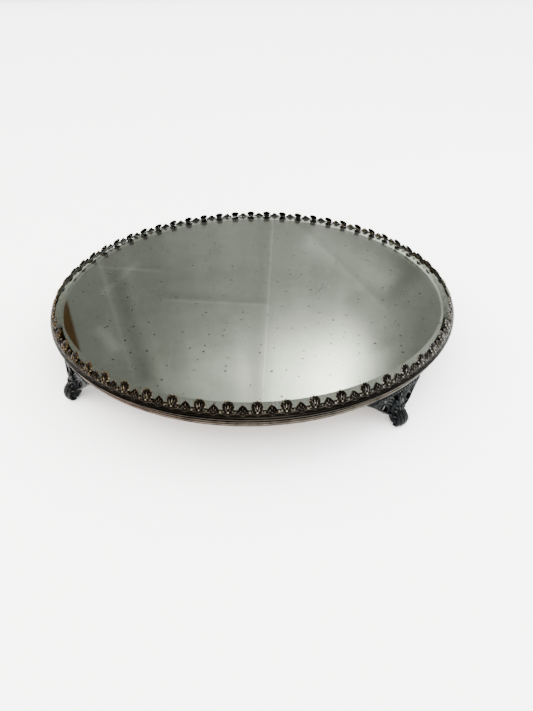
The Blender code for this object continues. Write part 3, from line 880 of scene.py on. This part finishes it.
def middle_carving():
    """An upright leaf on the column, with small bosses beside it."""
    pieces = [drop(0.0, 20.8, 1.6, 4.6, 1.3, out=1.8), drop(0.0, 20.0, 0.45, 4.8, 0.9, out=3.1)]
    for side in (-1, 1):
        pieces.append(drop(side * 2.2, 19.2, 0.9, 3.4, 1.0, tilt=side * 16, out=2.5))
        pieces.append(drop(side * 3.1, 16.0, 0.85, 2.1, 1.1, tilt=side * 40, out=3.2))
        pieces.append(drop(side * 1.3, 15.4, 0.75, 2.0, 1.1, tilt=side * 14, out=4.0))
        pieces.append(drop(side * 4.6, 14.2, 1.0, 1.0, 1.3, out=3.0))
        pieces.append(drop(side * 4.8, 18.2, 0.8, 0.8, 1.0, out=1.8))
    for index in range(GADROONS):
        across = (index - (GADROONS - 1) / 2) * GADROON_SPACING
        pieces.append(drop(across, 26.3, 0.9, 1.0, 0.7, out=0.2))
    return pieces


# %% Toe, column and lug
FLUTE_SPACING = 2.3
FLUTE_RADIUS = 1.22
LUG_BACK = 157.3
LUG_DEPTH = 19.5
LUG_HALF = 11.0
LUG_LOW = 24.7


def toe_pieces():
    """Five rounded flutes roll down the column, over the toe and under it."""
    pieces = [drop(0.0, 4.9, 6.5, 4.9, 5.6, out=TOE_RADIUS_OUT - 1.6, sides=32),
              drop(0.0, 14.0, 7.0, 8.5, 3.1, out=180.0, sides=32)]
    for side in (-1, 1):
        pieces.append(drop(side * 2.2, 8.2, 4.0, 6.6, 4.9, out=180.6, sides=32))
        pieces.append(drop(side * 5.6, 9.8, 1.0, 1.0, 1.1, out=183.9))
    for index in (-2, -1, 0, 1, 2):
        across = index * FLUTE_SPACING
        back = 0.06 * across ** 2
        path = [(0.78, 13.6, 183.4), (0.82, 11.4, 185.4), (0.92, 8.6, 187.7), (1.05, 5.4, 188.9),
                (1.1, 2.6, 188.3), (1.05, 1.0, 186.4), (1.0, 0.9, 184.0)]
        pieces.append(tube([(across * spread, up, out - back) for spread, up, out in path],
                           FLUTE_RADIUS))
    return pieces


def fixing_lug():
    """The square lug behind the plate, screwed up into the board."""
    outline = [(-LUG_HALF, LUG_LOW), (LUG_HALF, LUG_LOW), (LUG_HALF, foot_top_z), (-LUG_HALF, foot_top_z)]
    lug = plate("fixing_lug", outline, LUG_DEPTH)
    lug.location.y = -(LUG_BACK + LUG_DEPTH / 2) * MM
    settle(lug)
    return lug


# %% One foot, cast in one skin
FOOT_VOXEL = 0.34 * MM
FOOT_FACES = 13000


flat_leaf = join("foot_leaf", [foot_plate()] + wing_carving(-1) + wing_carving(1) + middle_carving())
settle(flat_leaf)
fuse(flat_leaf, FOOT_VOXEL)
wrap_onto_band(flat_leaf)
round_parts = join("foot_round", toe_pieces() + [fixing_lug()])
settle(round_parts)
foot = join("foot", [flat_leaf, round_parts])
fuse(foot, FOOT_VOXEL, FOOT_FACES)


def trim(obj, height, keep_above):
    """Cut the piece level at a height and close the cut."""
    pick(obj, "VERT", lambda vert: True)
    bpy.ops.mesh.bisect(plane_co=(0, 0, height * MM), plane_no=(0, 0, 1), use_fill=True,
                        clear_inner=keep_above, clear_outer=not keep_above)
    close_edit()


trim(foot, 0.0, True)
trim(foot, foot_top_z, False)
smooth(foot, 50)
print("foot", [round(value / MM, 1) for value in foot.dimensions], "mm")

# %% [markdown]
# The four feet come from one pattern, as in a foundry. They stand a quarter turn apart, and each copy
# has its own mesh. The lowest points are levelled, so that the tray stands flat.

# %% Four feet
FRONT = 270
foot_angles = {"front_left": 225, "front_right": 315, "back_right": 45, "back_left": 135}
feet = []
for corner, degrees in foot_angles.items():
    copy = foot.copy()
    copy.data = foot.data.copy()
    copy.name = "cast_foot_" + corner
    copy.data.name = copy.name
    bpy.context.scene.collection.objects.link(copy)
    swing(copy, radians(degrees - FRONT))
    for vert in copy.data.vertices:
        vert.co.z = max(vert.co.z, 0.0)
    feet.append((copy, "foot_" + corner))
bpy.data.objects.remove(foot)

# %% [markdown]
# The moulding is a strip that is bent round until its ends meet. The butt joint shows as a fine line,
# and a corner has broken off at its foot. A wedge takes both out.

# %% Seam in the moulding
SEAM = radians(255.4)
NOTCH = [(-0.35, high + 0.5), (-0.15, low + 2.6), (-0.75, low - 0.5), (0.95, low - 0.5), (0.2, low + 2.6),
         (0.0, high + 0.5)]
NOTCH_DEPTH = 2.2
notch = plate("seam_notch", NOTCH, NOTCH_DEPTH)
notch.data.transform(Matrix.Rotation(SEAM + pi / 2, 4, "Z")
                     @ Matrix.Translation((0.0, -band_r * MM, 0.0)))
cut(moulding, notch)
print("moulding", len(moulding.data.polygons), "faces with its seam")

# %% [markdown]
# ## Finishes
# The moulding is rolled from thin plate and polished more than the castings, so its silver has worn down
# to a pinkish copper on one side. Water that stands under the tray leaves dark stains along its lower
# edge. A mask on height finds the groove and the edge, and noise breaks the stain into specks.

# %% Worn moulding
def worn_moulding():
    """Rolled silver plate on copper: soft gloss, lines along the band, dark stains and pits below."""
    material, shader = new_material("worn silver plate on copper", "#504a41", 0.36, 1.0)
    link = material.node_tree.links.new
    place = add_node(material, "TexCoord").outputs["Object"]
    axes = add_node(material, "SeparateXYZ", links={"Vector": place})
    side = add_node(material, "MapRange", {"From Min": -0.12, "From Max": 0.12},
                    {"Value": axes.outputs["X"]})
    plate_tone = add_node(material, "ValToRGB",
                          {"stops": [(0.0, "#513b30"), (0.35, "#4f443b"), (0.6, "#504a41"),
                                     (1.0, "#524e45")]},
                          {"Fac": side.outputs["Result"]})
    patches = add_node(material, "TexNoise",
                       {"Scale": 1 / (9 * MM), "Detail": 6.0, "Roughness": 0.65}, {"Vector": place})
    tarnish = add_node(material, "MapRange", {"From Min": 0.48, "From Max": 0.68, "To Max": 0.75},
                       {"Value": patches.outputs["Fac"]})
    toned = add_node(material, "Mix", {"data_type": "RGBA", MIX_B: linear("#231d17")},
                     {0: tarnish.outputs["Result"], MIX_A: plate_tone.outputs["Color"]})
    low_edge = add_node(material, "MapRange",
                        {"From Min": (low + 3.0) * MM, "From Max": (low + 0.6) * MM},
                        {"Value": axes.outputs["Z"]})
    drips = add_node(material, "TexNoise", {"Scale": 1 / (3.2 * MM), "Detail": 4.0, "Roughness": 0.7},
                     {"Vector": place})
    soaked = add_node(material, "Math", {"operation": "MULTIPLY"},
                      {0: low_edge.outputs["Result"], 1: drips.outputs["Fac"]})
    stain = add_node(material, "MapRange", {"From Min": 0.22, "From Max": 0.44, "To Max": 0.97},
                     {"Value": soaked.outputs["Value"]})
    stained = add_node(material, "Mix", {"data_type": "RGBA", MIX_B: linear("#0f0c09")},
                       {0: stain.outputs["Result"], MIX_A: toned.outputs[MIX_OUT]})
    hollow = add_node(material, "Math",
                      {"operation": "COMPARE", 1: (high - 1.85) * MM, 2: 0.5 * MM},
                      {0: axes.outputs["Z"]})
    grooved = add_node(material, "Mix", {"data_type": "RGBA", MIX_B: linear("#0c0a08")},
                       {0: hollow.outputs["Value"], MIX_A: stained.outputs[MIX_OUT]})
    link(grooved.outputs[MIX_OUT], shader.inputs["Base Color"])
    dull = add_node(material, "MapRange",
                    {"From Min": 0.3, "From Max": 0.7, "To Min": 0.30, "To Max": 0.52},
                    {"Value": patches.outputs["Fac"]})
    link(dull.outputs["Result"], shader.inputs["Roughness"])
    rolling = add_node(material, "Mapping", {"Scale": (6.0, 6.0, 2600.0)}, {"Vector": place})
    lines = add_node(material, "TexNoise", {"Scale": 1.0, "Detail": 2.0},
                     {"Vector": rolling.outputs["Vector"]})
    pitted = add_node(material, "Math", {"operation": "MULTIPLY_ADD", 1: 0.6},
                      {0: lines.outputs["Fac"], 2: drips.outputs["Fac"]})
    relief = add_node(material, "Bump", {"Strength": 0.4, "Distance": 0.12 * MM},
                      {"Height": pitted.outputs["Value"]})
    link(relief.outputs["Normal"], shader.inputs["Normal"])
    return material


# %% [markdown]
# The board that carries everything is a plain turned disc of beech. Its grain shows from below.

# %% Beech, card and steel
def beech_board():
    """Sawn beech: pale brown, straight grain with darker flecks, quite matt."""
    material, shader = new_material("sawn beech", "#a37c55", 0.72)
    link = material.node_tree.links.new
    place = add_node(material, "TexCoord").outputs["Object"]
    along = add_node(material, "Mapping", {"Scale": (1 / (5 * MM), 1 / (90 * MM), 1.0)},
                     {"Vector": place})
    grain = add_node(material, "TexNoise",
                     {"Scale": 1.0, "Detail": 8.0, "Roughness": 0.6, "Distortion": 0.8},
                     {"Vector": along.outputs["Vector"]})
    tone = add_node(material, "ValToRGB",
                    {"stops": [(0.30, "#7d5a39"), (0.48, "#a07850"), (0.62, "#b58d63"), (0.80, "#94704a")]},
                    {"Fac": grain.outputs["Fac"]})
    link(tone.outputs["Color"], shader.inputs["Base Color"])
    dull = add_node(material, "MapRange", {"To Min": 0.62, "To Max": 0.85}, {"Value": grain.outputs["Fac"]})
    link(dull.outputs["Result"], shader.inputs["Roughness"])
    relief = add_node(material, "Bump", {"Strength": 0.5, "Distance": 0.2 * MM},
                      {"Height": grain.outputs["Fac"]})
    link(relief.outputs["Normal"], shader.inputs["Normal"])
    return material


def packing_board():
    """Grey millboard behind the silvering: matt, with short fibres."""
    material, shader = new_material("grey millboard", "#8b8171", 0.92)
    link = material.node_tree.links.new
    place = add_node(material, "TexCoord").outputs["Object"]
    fibres = add_node(material, "TexNoise", {"Scale": 1 / (1.5 * MM), "Detail": 6.0, "Roughness": 0.75},
                      {"Vector": place})
    tone = add_node(material, "ValToRGB",
                    {"stops": [(0.3, "#6f6658"), (0.55, "#8e8474"), (0.8, "#a09784")]},
                    {"Fac": fibres.outputs["Fac"]})
    link(tone.outputs["Color"], shader.inputs["Base Color"])
    dull = add_node(material, "MapRange", {"To Min": 0.85, "To Max": 0.98},
                    {"Value": fibres.outputs["Fac"]})
    link(dull.outputs["Result"], shader.inputs["Roughness"])
    relief = add_node(material, "Bump", {"Strength": 0.5, "Distance": 0.1 * MM},
                      {"Height": fibres.outputs["Fac"]})
    link(relief.outputs["Normal"], shader.inputs["Normal"])
    return material


# The gallery's bright ridges, partly wear and partly painted highlight, fade in between these heights.
rubbed_and_glint_heights = (gallery_base_z + 2.6, gallery_base_z + 4.6)
# Below these heights the inward faces of the gallery carry the painted reflection of the bevel.
painted_reflection_heights = (gallery_base_z + 4.4, gallery_base_z + 5.4)
gallery_metal = tarnish_with_painted_light("oxidised silver plate", ("#060504", "#1d1914"), ("#84693a", "#b4b0a4"),
                          0.30, 0.9, (0.46, 0.53, 0.60), rubbed_and_glint_heights, painted_reflection_heights)
strip_metal = tarnish_with_painted_light("blackened silver plate with painted reflection inside", ("#070605", "#12100d"), ("#2b2419", "#36332d"),
                        0.40, 1.2, painted_reflection_inside=painted_reflection_heights)
rim_metal = tarnish_with_painted_light("blackened silver plate", ("#070605", "#12100d"), ("#2b2419", "#36332d"), 0.40, 1.2)
foot_metal = tarnish_with_painted_light("blackened cast silver plate", ("#060707", "#17191a"), ("#4c473e", "#565854"),
                       0.38, 0.8, (0.42, 0.52, 0.60))
steel = tarnish_with_painted_light("blued steel screw", ("#1a1714", "#5a554d"), ("#8f887a", "#9c978c"), 0.32, 0.4)

hand_in(crest, gallery_metal, "gallery", "gallery_strip")
hand_in(strip, strip_metal, "gallery", "gallery_strip")
hand_in(rim, rim_metal, "rim", "rim_band")
hand_in(moulding, worn_moulding(), "moulding", "reeded_moulding")
for cast, node in feet:
    hand_in(cast, foot_metal, "feet", node)

node_finishes = {"base_board": beech_board(), "packing_card": packing_board()}
for name, finish in node_finishes.items():
    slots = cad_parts[name].data.materials
    slots.clear()
    slots.append(finish)

# %% [markdown]
# Sixteen slotted screws hold it together from below. A head is turned in one piece with its shank, and a
# thin cutter takes the slot out of it. One screw of each size is made, and every other one is a copy,
# turned a little so that no two slots line up.

# %% Slotted screws
def slotted_screw(node):
    """A screw the size of a packed one, standing on the upright axis with its head down."""
    lowest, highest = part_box(node)
    head_r = (highest.x - lowest.x) / 2 / MM
    low_z, high_z = lowest.z / MM, highest.z / MM
    shank_r = head_r / 2
    profile = [(0.0, low_z), (0.55 * head_r, low_z + 0.08), (0.9 * head_r, low_z + 0.4),
               (head_r, low_z + 0.8), (head_r, low_z + 1.5), (shank_r, low_z + 1.5),
               (shank_r, high_z - 1.0), (0.0, high_z)]
    screw = turned("slotted_screw", ring_points(profile), 24, closed=False)
    half = 1.3 * head_r
    outline = [(-half, low_z - 1.0), (half, low_z - 1.0), (half, low_z + 0.7), (-half, low_z + 0.7)]
    cut(screw, plate("slot_cutter", outline, 0.28 * head_r))
    return screw


first = {"foot": slotted_screw("foot_screw_front_left_a"), "rim": slotted_screw("rim_screw_1")}
screw_nodes = sorted(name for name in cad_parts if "_screw_" in name)
for index, node in enumerate(screw_nodes):
    kind = node.split("_")[0]
    screw = first[kind].copy()
    screw.data = first[kind].data.copy()
    screw.name = "slotted_" + node
    screw.data.name = screw.name
    bpy.context.scene.collection.objects.link(screw)
    lowest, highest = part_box(node)
    middle = (lowest + highest) / 2
    turned_slot = Matrix.Rotation(radians(37 * index), 4, "Z")
    screw.data.transform(Matrix.Translation((middle.x, middle.y, 0.0)) @ turned_slot)
    smooth(screw, 30)
    hand_in(screw, steel, "screws", node)
for screw in first.values():
    bpy.data.objects.remove(screw)

# %% [markdown]
# ## The stage
# A mirror shows the room, so the room has to be made too. A tall hanging of creased cloth stands behind
# the tray, out of the camera's sight. It glows as if a window lit it from one side: the brightness is
# counted in stops, as on a lens, which add up as creases and folds are laid over the window's glow.

# %% Stage
FLOOR_SIZE = 60.0
deselect_all()
bpy.ops.mesh.primitive_plane_add(size=FLOOR_SIZE, location=(0, 0, 0))
floor = bpy.context.object
floor.name = "floor"
floor_paint, _ = new_material("pale floor", "#f6f6f4", 0.9)
floor.data.materials.append(floor_paint)

HANGING_DISTANCE = 1.3
HANGING_WIDTH = 4.4
HANGING_HEIGHT = 3.2
HANGING_LOW = 0.05
bpy.ops.mesh.primitive_plane_add(size=1.0, location=(0, 0, 0))
hanging = bpy.context.object
hanging.name = "cloth_hanging"
hanging.data.transform(Matrix.Diagonal((HANGING_WIDTH, HANGING_HEIGHT, 1.0, 1.0))
                       @ Matrix.Translation((0.0, 0.5, 0.0)))
hanging.rotation_euler = (pi / 2, 0.0, CAMERA_HEADING)
hanging.location = (-HANGING_DISTANCE * sin(CAMERA_HEADING), HANGING_DISTANCE * cos(CAMERA_HEADING),
                    HANGING_LOW)
hanging.visible_camera = False
hanging.visible_diffuse = False
hanging.visible_shadow = False

cloth = bpy.data.materials.new("creased cloth in window light")
cloth.use_nodes = True
cloth.node_tree.nodes.clear()
cloth_place = add_node(cloth, "TexCoord").outputs["Object"]
cloth_axes = add_node(cloth, "SeparateXYZ", links={"Vector": cloth_place})


def stops_along(axis, start, end, tones, amount, shift=0.0):
    """A brightness, in stops, that follows one direction of the cloth."""
    share = add_node(cloth, "MapRange", {"From Min": start, "From Max": end},
                     {"Value": cloth_axes.outputs[axis]})
    ramp = add_node(cloth, "ValToRGB", {"stops": tones}, {"Fac": share.outputs["Result"]})
    ramp.color_ramp.interpolation = "B_SPLINE"
    scaled = add_node(cloth, "Math", {"operation": "MULTIPLY_ADD", 1: amount, 2: shift},
                      {0: ramp.outputs["Color"]})
    return scaled.outputs["Value"]


def add_stops(first_part, second_part, operation="ADD"):
    both = add_node(cloth, "Math", {"operation": operation}, {0: first_part, 1: second_part})
    return both.outputs["Value"]


def crease(start, end, width, amount, one_side=False):
    """A crease between two points of the cloth, as stops: a thin line, or a step to one side of it."""
    run = Vector(end) - Vector(start)
    middle = (Vector(end) + Vector(start)) / 2
    slope = Vector((run.x, run.y)).angle_signed(Vector((1.0, 0.0)))
    local = add_node(cloth, "Mapping",
                     {"vector_type": "TEXTURE", "Location": (middle.x, middle.y, 0.0),
                      "Rotation": (0.0, 0.0, slope)}, {"Vector": cloth_place})
    parts = add_node(cloth, "SeparateXYZ", links={"Vector": local.outputs["Vector"]})
    along = add_node(cloth, "Math", {"operation": "ABSOLUTE"}, {0: parts.outputs["X"]})
    inside = add_node(cloth, "MapRange",
                      {"From Min": 0.55 * run.length, "From Max": 0.42 * run.length,
                       "interpolation_type": "SMOOTHSTEP"}, {"Value": along.outputs["Value"]})
    if one_side:
        line = add_node(cloth, "MapRange",
                        {"From Min": -width, "From Max": width, "interpolation_type": "SMOOTHSTEP"},
                        {"Value": parts.outputs["Y"]})
    else:
        off = add_node(cloth, "Math", {"operation": "ABSOLUTE"}, {0: parts.outputs["Y"]})
        line = add_node(cloth, "MapRange",
                        {"From Min": width, "From Max": 0.0, "interpolation_type": "SMOOTHSTEP"},
                        {"Value": off.outputs["Value"]})
    both = add_node(cloth, "Math", {"operation": "MULTIPLY"},
                    {0: inside.outputs["Result"], 1: line.outputs["Result"]})
    scaled = add_node(cloth, "Math", {"operation": "MULTIPLY", 1: amount}, {0: both.outputs["Value"]})
    return scaled.outputs["Value"]


# %% Window light on the cloth
LEFT, RIGHT = -0.75, 0.65
glow_across = [(0.0, 0.0), (0.21, 0.03), (0.42, 0.34), (0.51, 0.40), (0.57, 0.60), (0.73, 1.0), (0.83, 0.70),
               (0.93, 0.08), (1.0, 0.0)]
glow_up = [(0.0, 0.0), (0.22, 0.04), (0.34, 0.22), (0.45, 0.53), (0.56, 0.88), (0.70, 1.0), (1.0, 0.95)]
cloth_across = [(0.0, 0.0), (0.21, 0.14), (0.32, 0.28), (0.54, 0.48), (0.74, 0.64), (0.83, 0.68),
                (0.90, 0.22), (1.0, 0.12)]
window_across = stops_along("X", LEFT, RIGHT, glow_across, 1.0)
window_up = stops_along("Y", 0.45, 1.45, glow_up, 4.3)
glow = add_stops(window_across, window_up, "MULTIPLY")
glow = add_stops(glow, stops_along("X", LEFT, RIGHT, cloth_across, 2.0, -0.35))
glow = add_stops(glow, stops_along("Y", 0.0, 0.45, [(0.0, 0.0), (1.0, 1.0)], 0.9, -0.9))
streaks = add_node(cloth, "Mapping", {"Scale": (7.0, 1.1, 1.0)}, {"Vector": cloth_place})
folds = add_node(cloth, "TexNoise", {"Scale": 1.0, "Detail": 3.0}, {"Vector": streaks.outputs["Vector"]})
soft_folds = add_node(cloth, "Math", {"operation": "MULTIPLY_ADD", 1: 0.9, 2: -0.45},
                      {0: folds.outputs["Fac"]})
glow = add_stops(glow, soft_folds.outputs["Value"])

# %% [markdown]
# Cloth that has lain folded keeps its creases: fine bright lines where the fold catches the light, and
# broad soft valleys between them. Each one is laid over the glow as a few stops more or less.

# %% Creases
# Each crease: its two ends, its width and its change in stops. Wide ones are soft folds.
creases = [((0.045, 0.30), (-0.01, 1.30), 0.006, 0.34), ((0.020, 0.30), (-0.04, 1.30), 0.035, -0.16),
           ((-0.40, 0.74), (0.03, 0.77), 0.007, 0.30), ((-0.40, 0.72), (0.03, 0.75), 0.03, -0.18),
           ((-0.62, 0.60), (-0.38, 0.62), 0.010, 0.28), ((-0.60, 0.55), (-0.56, 1.15), 0.014, 0.16),
           ((-0.55, 0.60), (-0.50, 1.15), 0.05, -0.36), ((-0.62, 0.72), (-0.45, 0.58), 0.02, 0.22),
           ((-0.66, 0.86), (-0.60, 0.98), 0.05, 0.40), ((-0.46, 1.12), (-0.06, 1.08), 0.24, 0.36),
           ((0.08, 0.40), (0.48, 0.79), 0.012, 0.16), ((0.16, 0.48), (0.50, 0.68), 0.10, 0.55),
           ((0.34, 0.72), (0.50, 0.98), 0.10, -0.42)]
for parts in creases:
    glow = add_stops(glow, crease(*parts))
glow = add_stops(glow, crease((0.48, 0.79), (0.00, 0.33), 0.012, -0.40, one_side=True))

# %% Brown edge and output
BROWN_EDGE = -0.755
EDGE_BLUR = 0.006
BASE_GLOW = 0.36
brown = add_node(cloth, "MapRange", {"From Min": BROWN_EDGE + EDGE_BLUR, "From Max": BROWN_EDGE - EDGE_BLUR},
                 {"Value": cloth_axes.outputs["X"]})
lift = add_node(cloth, "Math", {"operation": "MULTIPLY", 1: 0.05}, {0: brown.outputs["Result"]})
glow = add_stops(glow, lift.outputs["Value"])
hue = add_node(cloth, "Mix", {"data_type": "RGBA", MIX_A: linear("#f4f8ea"), MIX_B: linear("#a8865e")},
               {0: brown.outputs["Result"]})
power = add_node(cloth, "Math", {"operation": "POWER", 0: 2.0}, {1: glow})
strength = add_node(cloth, "Math", {"operation": "MULTIPLY", 1: BASE_GLOW}, {0: power.outputs["Value"]})
lit = add_node(cloth, "Emission",
               links={"Color": hue.outputs[MIX_OUT], "Strength": strength.outputs["Value"]})
add_node(cloth, "OutputMaterial", links={"Surface": lit.outputs["Emission"]})
hanging.data.materials.append(cloth)

# %% [markdown]
# The room itself is dim, so the tarnished metal stays dark. A very wide soft light overhead brightens
# the floor evenly without showing in the metal. Three small ones make the glints: a cool window on the
# right, a warm lamp on the left and a soft one in front.

# %% Room and lights
room = bpy.data.worlds.new("dim room")
room.use_nodes = True
room.node_tree.nodes["Background"].inputs["Color"].default_value = linear("#e6e8ea")
room.node_tree.nodes["Background"].inputs["Strength"].default_value = 0.45
bpy.context.scene.world = room


def softbox(name, power_watts, size, place, colour, shows_in_metal=True):
    data = bpy.data.lights.new(name, "AREA")
    data.shape = "RECTANGLE"
    data.size, data.size_y = size
    data.energy = power_watts
    data.color = linear(colour)[:3]
    lamp = bpy.data.objects.new(name, data)
    bpy.context.scene.collection.objects.link(lamp)
    lamp.location = place
    lamp.rotation_euler = (-Vector(place)).to_track_quat("-Z", "Y").to_euler()
    lamp.visible_glossy = shows_in_metal
    lamp.visible_transmission = shows_in_metal


softbox("overhead", 38000.0, (40.0, 40.0), (0.1, -0.2, 9.0), "#ffffff", shows_in_metal=False)
softbox("window", 9.0, (0.35, 0.5), (0.75, 0.35, 0.95), "#f3f8ff")
softbox("lamp", 4.0, (0.3, 0.3), (-0.85, -0.15, 0.8), "#ffd9a6")
softbox("front", 5.0, (0.5, 0.3), (0.35, -1.25, 0.75), "#ffffff")
